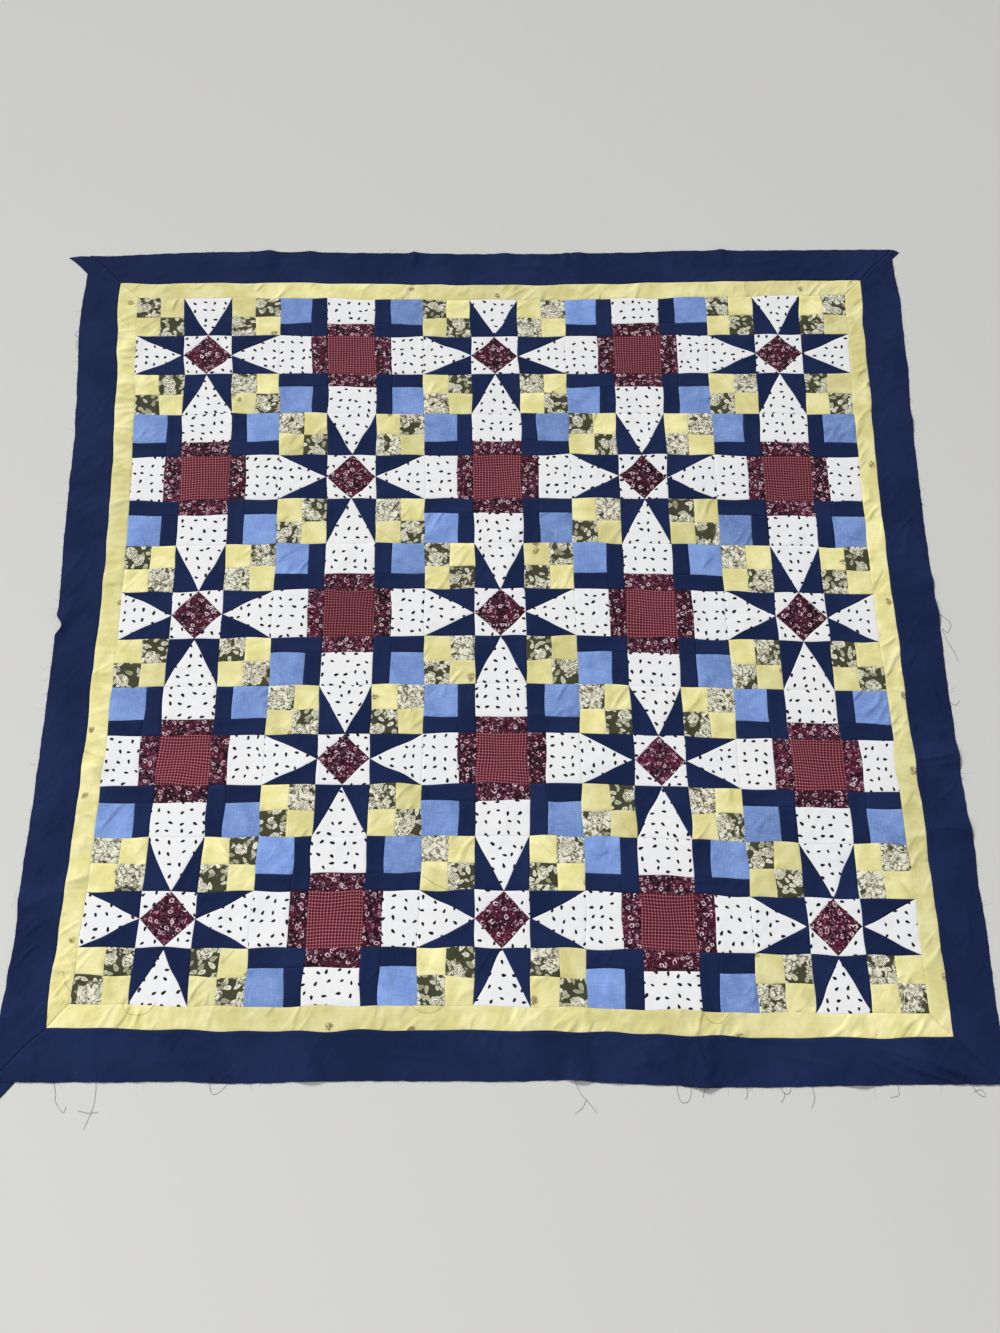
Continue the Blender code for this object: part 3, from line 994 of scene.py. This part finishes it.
def star_patches(left, far, draw):
    """Cotton and corners of a star block's patches: one side and one corner, turned four ways."""
    patches = []
    for turn in range(4):
        p = np.rot90(lattice(left, far, 6), turn)
        seam = p[3, 2]
        short = TIP_SHORT[0] + (TIP_SHORT[1] - TIP_SHORT[0]) * draw.random() ** 3
        tip = seam + (p[3, 0] - seam) / np.linalg.norm(p[3, 0] - seam) * short * MM
        point = wedge(p[4, 0], p[2, 0], tip)
        patches.append(("white_print", point))
        patches.append(("navy", (p[2, 0], p[2, 2], seam, point[2])))
        patches.append(("navy", (seam, p[4, 2], p[4, 0], point[3])))
        for column, row in ((0, 0), (1, 1), (0, 1), (1, 0)):
            cloth = "floral_print" if column == row else "yellow"
            patches.append((cloth, square(p, column, row, column + 1, row + 1)))
        patches.append(("white_print", wedge(p[2, 2], p[2, 3], p[3, 2])))
    p = lattice(left, far, 6)
    patches.append(("maroon_print", (p[3, 4], p[4, 3], p[3, 2], p[2, 3])))
    return patches


def make_block(kind, row, column, patches_of, slot):
    """Frame nodes are numbered from the far left corner.
    """
    draw = np.random.default_rng(100 * row + column + 7)
    left = -HALF + column * BLOCK
    far = HALF - row * BLOCK
    sewn = []
    for cloth, corners in patches_of(left, far, draw):
        flat = four_sided(corners, FINE_STEP if cloth in PLAIN_COTTONS else WIDE_STEP)
        sewn.append((cloth, cloth_patch(flat, corners, RIDGES[cloth], draw)))
    node_name = f"{kind}_block_r{row + 1}_c{column + 1}"
    piece = sewn_piece("pieced_" + node_name, sewn, COTTONS)
    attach(piece, "root")
    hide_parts(node_name)


for place in range(0, BLOCKS_A_SIDE ** 2, 2):
    make_block("star", *divmod(place, BLOCKS_A_SIDE), star_patches, "pieced_star_cotton")


# Chain blocks
# Twelve squares of 21 patches: a checked centre in a print frame, four white oblongs that run on
# into the star points, and four blue squares, each held in an L of two dark strips.
def blue_paint(tree, place):
    """Mid blue with paler cross threads, and faintly clouded."""
    warp = uneven(tree, place, 1.0, detail=1.0, more=(900.0, 60.0))
    weft = uneven(tree, place, 1.0, detail=1.0, more=(60.0, 900.0))
    clouds = soft_step(tree, uneven(tree, place, 24.0, detail=3.0), 0.32, 0.68)
    ground = mixed(tree, clouds, srgb(111, 141, 202), srgb(127, 157, 217))
    ground = piece_tone(tree, place, ground, 0.17)
    pale = product(tree, soft_step(tree, maths(tree, "ADD", warp, weft), 0.92, 1.3), 0.28)
    return mixed(tree, pale, ground, srgb(178, 200, 238))


# The checks: how far apart their lines are in metres, how wide a line is and how far from its
# middle it has faded and is full, as shares of that, and how far and how often the lines lean
CHECK_PITCH = 0.0043
CHECK_LINE = 0.30
CHECK_FADE = (CHECK_LINE / 2 + 0.08, CHECK_LINE / 2 - 0.06)
CHECK_LEAN = (0.0016, 0.0016, 0.0)
CHECK_LEAN_LUMPS = 24.0


def check_paint(tree, place):
    """Dark red with rosy lines both ways, paler where they cross, and a little wavy."""
    feeds = {"Vector": place, "Scale": CHECK_LEAN_LUMPS}
    lean = node(tree, "TexNoise", feeds, noise_dimensions="2D").outputs["Color"]
    lean = node(tree, "VectorMath", {0: lean, 1: (0.5, 0.5, 0.5)}, operation="SUBTRACT").outputs[0]
    feeds = {0: lean, 1: CHECK_LEAN, 2: place}
    bent = node(tree, "VectorMath", feeds, operation="MULTIPLY_ADD").outputs[0]
    parts = node(tree, "SeparateXYZ", {0: bent})
    lines = []
    for axis in ("X", "Y"):
        checks = maths(tree, "DIVIDE", parts.outputs[axis], CHECK_PITCH)
        place_in_check = maths(tree, "WRAP", checks, 1.0, 0.0)
        lines.append(soft_step(tree, off_middle(tree, place_in_check), *CHECK_FADE))
    either = maths(tree, "MAXIMUM", *lines)
    both = product(tree, *lines)
    ground = mixed(tree, uneven(tree, place, 20.0), srgb(52, 9, 27), srgb(70, 18, 38))
    lined = mixed(tree, product(tree, either, 0.88), ground, srgb(144, 69, 80))
    return piece_tone(tree, place, mixed(tree, both, lined, srgb(198, 122, 124)), 0.17)


COTTONS["blue"] = cotton("mid_blue_cotton", blue_paint, 0.0016, 0.00014, 0.03)
COTTONS["check"] = cotton("red_check_cotton", check_paint, 0.0003, 0.00012, 0.05)
RIDGES |= {"blue": 0.0, "check": 0.12}


def chain_patches(left, far, draw):
    """Cotton and corners of a chain block's patches: one side and one corner, turned four ways."""
    patches = []
    for turn in range(4):
        p = np.rot90(lattice(left, far, 9), turn)
        patches.append(("white_print", square(p, 3, 0, 6, 2)))
        patches.append(("maroon_print", square(p, 3, 2, 6, 3)))
        patches.append(("blue", square(p, 0, 0, 2, 2)))
        patches.append(("navy", square(p, 2, 0, 3, 3)))
        patches.append(("navy", square(p, 0, 2, 2, 3)))
    patches.append(("check", square(lattice(left, far, 9), 3, 3, 6, 6)))
    return patches


for place in range(1, BLOCKS_A_SIDE ** 2, 2):
    make_block("chain", *divmod(place, BLOCKS_A_SIDE), chain_patches, "pieced_chain_cotton")


# Pale border
# Four narrow strips of the yellow cotton, cut along the cloth and mitred at the corners. They are
# slack here and there, so that small slanting pulls cross them.
PALE_BORDER = {"top": 0.030, "right": 0.028, "bottom": 0.031, "left": 0.030}
PALE_STEP = 0.0026
PALE_EDGES = {side: (HALF, HALF + PALE_BORDER[side]) for side in SIDES}


def side_point(side, along, out):
    """Points of the true square: so far clockwise along a side from its middle, and so far out."""
    out_x, out_y = OUTWARD[side]
    x, y = out_x * out + out_y * along, out_y * out - out_x * along
    return np.stack(np.broadcast_arrays(x, y), -1)


# The ends of a side, and which way along it each lies
ENDS = {"start": -1, "end": 1}


def neighbour_at(side, end):
    """The side that a strip's start or end is mitred to."""
    return SIDES[(SIDES.index(side) + ENDS[end]) % len(SIDES)]


def strip_corners(edges, side):
    """A mitred strip's corners, going round to the left from the end of its inner edge."""
    inner, outer = edges[side]
    before, after = edges[neighbour_at(side, "start")], edges[neighbour_at(side, "end")]
    return np.array((
        side_point(side, after[0], inner),
        side_point(side, after[1], outer),
        side_point(side, -before[1], outer),
        side_point(side, -before[0], inner),
    ))


def strip_grid(corners, width, step, step_across):
    """A strip's flat grid, mixed from its corners: lines a step apart along, seam lines across."""
    end_inner, end_outer, start_outer, start_inner = corners
    cells = math.ceil(np.linalg.norm(end_inner - start_inner) / step)
    u = grid_lines(width, step_across)[None, :, None]
    v = np.linspace(0, 1, cells + 1)[:, None, None]
    end = end_inner * (1 - u) + end_outer * u
    start = start_inner * (1 - u) + start_outer * u
    return end * (1 - v) + start * v


def declare_strip(piece, node_name):
    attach(piece, "root")
    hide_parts(node_name)


for number, side in enumerate(SIDES):
    draw = np.random.default_rng(700 + number)
    corners = strip_corners(PALE_EDGES, side)
    width = PALE_BORDER[side]
    flat = strip_grid(corners, width, PALE_STEP, FINE_STEP)
    patch = cloth_patch(flat, corners, RIDGES["yellow"], draw)
    strip = sewn_piece("pale_strip_" + side, [("yellow", patch)], COTTONS)
    declare_strip(strip, "pale_border_" + side)


# Navy border
# Four wide strips of navy cotton, mitred, with a raw outer edge that was never bound. Spare cloth
# was left on at three corners, where one strip runs on past its neighbour as a pointed tail.
NAVY_BORDER = {"top": 0.062, "right": 0.064, "bottom": 0.065, "left": 0.062}
NAVY_EDGES = {side: (edges[1], edges[1] + NAVY_BORDER[side]) for side, edges in PALE_EDGES.items()}

# How far the raw edge wanders from its straight line, in mm, with places counted clockwise along
# the side from its middle: place, outwards, half width of the bend
EDGE_BENDS = {
    "top": ((-690, -9, 250), (-112, 1, 60), (300, 2, 80), (640, 1, 60)),
    "right": ((-640, -4, 90), (-420, 2, 60), (0, 2, 120), (350, 3, 60), (460, 2, 80)),
    "bottom": ((-560, -5, 300), (-262, 2, 40), (-85, -3, 70), (346, 2, 80), (570, 4, 180)),
    "left": ((-500, -5, 110), (-17, -9, 18), (150, 3, 150), (640, -6, 150)),
}

# The mitres whose spare cloth wasn't trimmed, by the strip and the end that carry it, in mm:
# reach past the neighbour's raw edge, notch below the strip's own raw edge, drop of the tip,
# and how far the raw edge runs on before it
TAILS = {
    ("top", "start"): (34, 44, 6, 19),
    ("top", "end"): (13, 19, 5, 4),
    ("left", "start"): (33, 31, 3, 27),
}

# How far a tail is tucked under its neighbour's raw edge, how far past that edge it takes to leave
# the floor, how wide its tip is, and the cells of its grid
TAIL_TUCK = 5 * MM
TAIL_RISE = 15 * MM
TAIL_BLUNT = 0.1 * MM
TAIL_CELLS = (20, 8)

# The grid's step along the strips in metres and across them in mm, and how far in from the raw edge
# the seam's wandering has died away
NAVY_STEP = 0.0022
NAVY_STEP_ACROSS = 4.0
NO_SEAM_WITHIN = 20 * MM

# The raw edge's own small waves: how many, their lengths in metres and their size
EDGE_WAVES = 9
EDGE_WAVE_LENGTHS = (0.014, 0.070)
EDGE_WAVE_SIZE = 0.13 * MM
edge_waves = wave_field(15, EDGE_WAVES, EDGE_WAVE_LENGTHS, EDGE_WAVE_SIZE)

# Whiskers of the weave along the raw edges, in mm: one in so many, the middle length, how much
# lengths vary, the longest, the share that are long ravelled ones, and the lengths of those
WHISKER_EVERY = 2.4
WHISKER_LENGTH = 1.9
WHISKER_SPREAD = 0.55
WHISKER_LONGEST = 7.0
RAVELLED_SHARE = 0.035
RAVELLED_LENGTHS = (7.0, 16.0)

# How thick a whisker is in mm and what share of that its tip keeps, how far it leans and bends in
# radians, and its tube's rings and sides
WHISKER_THICKNESS = 0.13
WHISKER_TIP = 0.55
WHISKER_LEAN = 0.6
WHISKER_BEND = 0.9
WHISKER_RINGS = 4
WHISKER_SIDES = 3

# How near a corner a whisker may grow in mm, how much of its length is inside the cut, as a share,
# and where in the cloth's thickness it starts
WHISKER_MARGIN = 2.0
WHISKER_ROOT = 0.25
WHISKER_START = (0.15, 0.85)


def navy_place(x, y):
    """Where a point of the navy border lies: moved with the seams and its strip's raw edge."""
    place_x, place_y = seam_place(x, y)
    for side, (out_x, out_y) in OUTWARD.items():
        inner, outer = NAVY_EDGES[side]
        share = np.clip((x * out_x + y * out_y - inner) / (outer - inner), 0.0, 1.0)
        along = (x * out_y - y * out_x) / MM
        bends = sum(out * rise((along - place) / half) for place, out, half in EDGE_BENDS[side])
        wander = share ** 4 * (MM * bends + edge_waves(x, y))
        place_x = place_x + out_x * wander
        place_y = place_y + out_y * wander
    return place_x, place_y


def tail_grid(side, end):
    """An untrimmed tail, ruled between its cut side and the strip's raw edge.

    The cut side runs from under the neighbour by the notch to the tip, and the raw edge from under
    the neighbour by the shoulder to the tip.
    """
    reach, notch, drop, shoulder = (size * MM for size in TAILS[side, end])
    raw = NAVY_EDGES[side][1]
    beside = NAVY_EDGES[neighbour_at(side, end)][1]
    tucked, tip = beside - TAIL_TUCK, beside + reach
    cut_side = ((tucked, raw - notch), (beside, raw - notch), (tip, raw - drop))
    raw_side = ((tucked, raw), (beside + shoulder, raw), (tip, raw - drop + TAIL_BLUNT))
    share = np.linspace(0, 1, TAIL_CELLS[0] + 1)
    rails = []
    for rail, to_bend in ((cut_side, TAIL_TUCK), (raw_side, TAIL_TUCK + shoulder)):
        bends = (0, to_bend / (TAIL_TUCK + reach), 1)
        rails.append(np.stack([np.interp(share, bends, axis) for axis in zip(*rail)], -1))
    mix = np.linspace(0, 1, TAIL_CELLS[1] + 1)[:, None, None]
    ruled = rails[0] * (1 - mix) + rails[1] * mix
    flat = side_point(side, ENDS[end] * ruled[..., 0], ruled[..., 1])
    clear_of_neighbour = np.clip((ruled[..., 0] - beside) / TAIL_RISE, 0, 1)
    return flat[::ENDS[end]], clear_of_neighbour[::ENDS[end]]


def navy_strip_patch(corners, width, draw):
    """The strip itself: like cloth_patch, but with its raw edge's bends and no seam along it."""
    flat = strip_grid(corners, width, NAVY_STEP, NAVY_STEP_ACROSS)
    x, y = navy_place(flat[..., 0], flat[..., 1])
    from_sides = side_distances(corners, flat)
    sewn = np.clip(from_sides[..., 1] / NO_SEAM_WITHIN, 0, 1)
    x = x + seam_wander_x(flat[..., 0], flat[..., 1]) * sewn
    y = y + seam_wander_y(flat[..., 0], flat[..., 1]) * sewn
    under = floor_gap(flat[..., 0], flat[..., 1])
    over = under + seam_relief(from_sides[..., [0, 2, 3]], RIDGES["navy"])
    return closed_cloth(x, y, under, over, flat, draw)


def tail_patch(side, end, draw):
    """A tail: it lies flat where it's tucked under its neighbour, and takes up the folds beyond."""
    flat, clear = tail_grid(side, end)
    x, y = navy_place(flat[..., 0], flat[..., 1])
    under = floor_gap(flat[..., 0], flat[..., 1]) * clear ** 2 * (3 - 2 * clear)
    return closed_cloth(x, y, under, under + CLOTH_THICKNESS * MM, flat, draw)


def tubes(centres, radii, sides):
    """Tubes round many centre lines at once: their points, quads, first ends and last ends.

    centres is tubes by rings by xyz and radii rings long. Each ring is a regular polygon across its
    line, its first corner sideways. Quads join the rings, and each end is one flat polygon.
    """
    count, rings = centres.shape[:2]
    ahead = np.gradient(centres, axis=1)
    ahead /= np.linalg.norm(ahead, axis=-1, keepdims=True)
    sideways = np.cross(ahead, (0.0, 0.0, 1.0))
    sideways /= np.linalg.norm(sideways, axis=-1, keepdims=True)
    upright = np.cross(sideways, ahead)
    turn = (np.arange(sides) * 2 * np.pi / sides)[:, None]
    spoke = sideways[:, :, None] * np.cos(turn) + upright[:, :, None] * np.sin(turn)
    points = centres[:, :, None] + spoke * np.asarray(radii)[:, None, None]
    number = np.arange(count * rings * sides).reshape(count, rings, sides)
    beside = np.roll(number, -1, axis=2)
    quads = np.stack([number[:, :-1], number[:, 1:], beside[:, 1:], beside[:, :-1]], -1)
    return points.reshape(-1, 3), quads.reshape(-1, 4), number[:, 0], number[:, -1, ::-1]


def thread_piece(name, bundles, material):
    """One mesh of bundles of tubes, each tube a closed shell, shaded smooth."""
    mesh = bpy.data.meshes.new(name)
    points, faces, start = [], [], 0
    for bundle_points, quads, first_ends, last_ends in bundles:
        points.append(bundle_points)
        for group in (quads, first_ends, last_ends):
            faces += (group + start).tolist()
        start += len(bundle_points)
    mesh.from_pydata(np.concatenate(points).tolist(), [], faces)
    mesh.polygons.foreach_set("use_smooth", np.ones(len(faces), bool))
    mesh.materials.append(material)
    return placed(name, mesh)


THREAD_ROUGHNESS = 0.8


def thread_cotton(name, colour):
    """Plain matt sewing thread."""
    material = bpy.data.materials.new(name)
    material.use_nodes = True
    shader = material.node_tree.nodes["Principled BSDF"]
    shader.inputs["Base Color"].default_value = colour
    shader.inputs["Roughness"].default_value = THREAD_ROUGHNESS
    return material


def whiskers(side, corners, draw):
    """The fray of one raw edge: short threads that start in the cut and bend down to the floor."""
    reach = abs(corners[1] - corners[2]).max()
    count = int(reach / MM / WHISKER_EVERY)
    start, end = sorted(np.dot(corners[k], side_point(side, 1.0, 0.0)) for k in (1, 2))
    along = draw.uniform(start + WHISKER_MARGIN * MM, end - WHISKER_MARGIN * MM, count)
    base_x, base_y = side_point(side, along, NAVY_EDGES[side][1]).T
    x, y = navy_place(base_x, base_y)
    in_cut = draw.uniform(*WHISKER_START, count) * CLOTH_THICKNESS * MM
    height = floor_gap(base_x, base_y) + in_cut
    length = WHISKER_LENGTH * np.exp(draw.normal(0, WHISKER_SPREAD, count))
    length = np.minimum(length, WHISKER_LONGEST)
    ravelled = draw.random(count) < RAVELLED_SHARE
    length = np.where(ravelled, draw.uniform(*RAVELLED_LENGTHS, count), length) * MM
    lean = draw.normal(0, WHISKER_LEAN, count)
    bend = draw.normal(0, WHISKER_BEND, count)
    s = np.linspace(-WHISKER_ROOT, 1, WHISKER_RINGS)[None, :]
    heading = lean[:, None] + bend[:, None] * np.maximum(s, 0) / 2
    out = np.cos(heading) * s * length[:, None]
    side_step = np.sin(heading) * s * length[:, None]
    out_x, out_y = OUTWARD[side]
    radius = WHISKER_THICKNESS / 2 * MM
    fall = np.clip(1 - s, 0, 1) ** 2
    centres = np.stack([
        x[:, None] + out_x * out + out_y * side_step,
        y[:, None] + out_y * out - out_x * side_step,
        height[:, None] * fall + radius * (1 - fall),
    ], -1)
    radii = radius * np.linspace(1.0, WHISKER_TIP, WHISKER_RINGS)
    return tubes(centres, radii, WHISKER_SIDES)


NAVY_THREAD_PAINT = thread_cotton("navy_thread", srgb(38, 47, 80))

for number, side in enumerate(SIDES):
    draw = np.random.default_rng(800 + number)
    corners = strip_corners(NAVY_EDGES, side)
    width = NAVY_BORDER[side]
    patches = [navy_strip_patch(corners, width, draw)]
    patches += [tail_patch(*tail, draw) for tail in TAILS if tail[0] == side]
    strip = sewn_piece("navy_strip_" + side, [("navy", patch) for patch in patches], COTTONS)
    fray = whiskers(side, corners, draw)
    fray = thread_piece("raw_edge_threads_" + side, [fray], NAVY_THREAD_PAINT)
    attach(fray, "root")
    declare_strip(strip, "navy_border_" + side)


# Loose threads
# Sewing thread ends and ravelled warp threads that hang out over the floor or lie on the pale
# cloth. Each is a thin round tube along a smooth line through places read off.

# Their thickness and how far one lifts off what it lies on, in mm, and the tubes' rings and sides.
# At a raw edge a thread comes down to the floor over this way, this share of it over the cloth.
NAVY_THREAD = 0.34
TAN_THREAD = 0.30
THREAD_LIFT = 0.5
THREAD_RINGS_A_PLACE = 6
THREAD_SIDES = 5
WAY_DOWN = 8 * MM
SHARE_OVER_CLOTH = 0.9

# Places along each thread in mm, from where it leaves the cloth
NAVY_THREADS = (
    ((-587, -655), (-582, -676), (-581, -686), (-575, -695), (-569, -700), (-566, -693)),
    ((-532, -652), (-530, -675), (-531, -692), (-536, -708), (-541, -721)),
    ((-551, -698), (-537, -701), (-524, -700)),
    ((-386, -656), (-379, -679), (-364, -671), (-354, -655)),
    ((90, -655), (100, -680), (110, -691), (121, -705)),
    ((108, -689), (103, -699), (93, -706)),
    ((226, -660), (230, -688), (237, -694), (245, -686), (247, -660)),
    ((263, -664), (264, -676), (261, -688)),
    ((317, -660), (320, -682), (317, -690)),
    ((356, -662), (369, -683), (377, -680), (375, -664)),
    ((369, -682), (368, -688), (364, -694)),
    ((402, -662), (408, -687), (403, -701)),
    ((516, -664), (520, -685), (508, -689)),
    ((612, -662), (624, -684), (634, -689), (630, -680), (619, -683)),
    ((-668, 501), (-679, 498), (-682, 491), (-677, 486), (-672, 491), (-668, 500)),
    ((-666, 482), (-679, 477), (-676, 463)),
    ((652, 8), (668, -4), (677, -15), (670, -29), (663, -23), (668, -42), (676, -60), (681, -76)),
    ((654, -134), (666, -144), (674, -137)),
)
TAN_THREADS = (
    ((267, -574), (275, -590), (290, -593), (305, -579)),
    ((-507, -562), (-500, -575), (-486, -578), (-472, -575), (-461, -561)),
    ((-126, -565), (-110, -576), (-94, -577), (-77, -567)),
    ((-380, -511), (-372, -504), (-362, -492)),
    ((-589, -520), (-583, -539), (-567, -557)),
    ((-110, -393), (-92, -405), (-73, -414)),
)


def flat_place(x, y):
    """Where on the true square a place on the floor comes from, near enough: one step back."""
    moved_x, moved_y = seam_place(x, y)
    return 2 * x - moved_x, 2 * y - moved_y


def thread_line(places, draw):
    """A smooth line through the places, and how far it lifts off what lies below, in metres."""
    places = np.array(places) * MM
    step = np.linspace(0, len(places) - 1, (len(places) - 1) * THREAD_RINGS_A_PLACE + 1)
    x, y = (smooth_through(places[:, axis], step) for axis in (0, 1))
    lift = np.interp(step, np.arange(len(places)), draw.random(len(places))) * THREAD_LIFT * MM
    return x, y, lift


def loose_threads(name, table, thickness, material, height_under):
    """Lays all threads of a table, each in a tube of its own length."""
    draw = np.random.default_rng(len(table))
    radius = thickness / 2 * MM
    bundles = []
    for places in table:
        x, y, lift = thread_line(places, draw)
        z = height_under(x, y) + radius + lift
        bundles.append(tubes(np.stack([x, y, z], -1)[None], np.full(len(x), radius), THREAD_SIDES))
    return thread_piece(name, bundles, material)


def beside_top(x, y):
    """Height below a thread at a raw edge: the strip's face, and past the edge the floor."""
    x, y = flat_place(x, y)
    outside = np.zeros(np.shape(x))
    for side, (out_x, out_y) in OUTWARD.items():
        out = x * out_x + y * out_y - NAVY_EDGES[side][1]
        outside = np.maximum(outside, np.clip(out / WAY_DOWN + SHARE_OVER_CLOTH, 0, 1))
    return (floor_gap(x, y) + CLOTH_THICKNESS * MM) * (1 - outside)


def on_top(x, y):
    """Height of the cloth's face under a thread that lies on it, over the ridge of any seam."""
    return floor_gap(*flat_place(x, y)) + (CLOTH_THICKNESS + RIDGES["floral_print"]) * MM


TAN_THREAD_PAINT = thread_cotton("tan_thread", srgb(158, 148, 98))

navy_ends = loose_threads(
    "loose_navy_threads", NAVY_THREADS, NAVY_THREAD, NAVY_THREAD_PAINT, beside_top
)
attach(navy_ends, "root")
tan_ends = loose_threads("loose_tan_threads", TAN_THREADS, TAN_THREAD, TAN_THREAD_PAINT, on_top)
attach(tan_ends, "root")
